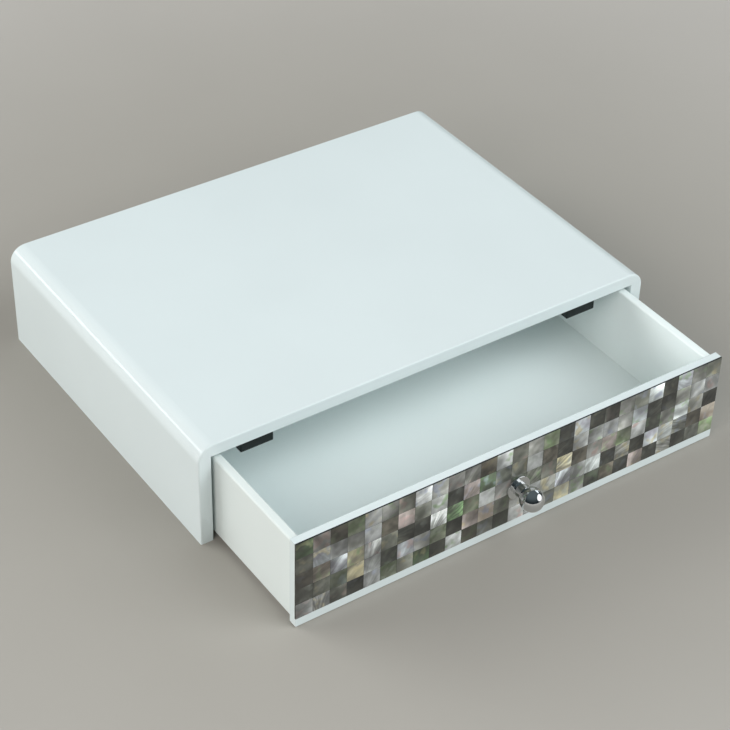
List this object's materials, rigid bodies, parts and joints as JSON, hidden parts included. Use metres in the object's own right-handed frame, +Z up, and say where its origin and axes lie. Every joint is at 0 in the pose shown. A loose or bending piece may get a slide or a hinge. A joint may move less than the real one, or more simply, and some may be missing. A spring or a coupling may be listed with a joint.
{
  "type": "storage box with a drawer",
  "caption": "Low white lacquered desk box with one pull-out drawer, its front clad in square shell mosaic and opened by a chrome ball knob.",
  "frame": {"origin": "middle of the case's underside, on the surface it stands on", "axes": "+Z up, -Y the way the drawer opens, +X to the right as seen from the front"},
  "size_m": [0.3444, 0.362, 0.076],
  "materials": {
    "lacquer": "gloss",
    "shell": "polished",
    "bond": "matte",
    "stop_rubber": "matte",
    "chrome": "polished",
    "steel": "satin"
  },
  "bodies": {
    "case": {"case_top": "lacquer", "case_left_side": "lacquer", "case_right_side": "lacquer", "case_back": "lacquer", "case_bottom": "lacquer", "stop_block_left": "stop_rubber", "stop_block_right": "stop_rubber"},
    "drawer": {"drawer_front": "lacquer", "drawer_left_wall": "lacquer", "drawer_right_wall": "lacquer", "drawer_back_wall": "lacquer", "drawer_floor": "lacquer", "mosaic_bond": "bond", "mosaic_row_1": "shell", "mosaic_row_2": "shell", "mosaic_row_3": "shell", "mosaic_row_4": "shell", "mosaic_row_5": "shell", "knob": "chrome", "knob_washer": "steel", "knob_screw": "steel"}
  },
  "joints": [
    {"name": "drawer_slide", "type": "slide", "parent": "case", "child": "drawer", "axis": [0, -1, 0], "range_m": [-0.0914, 0.1206]}
  ]
}
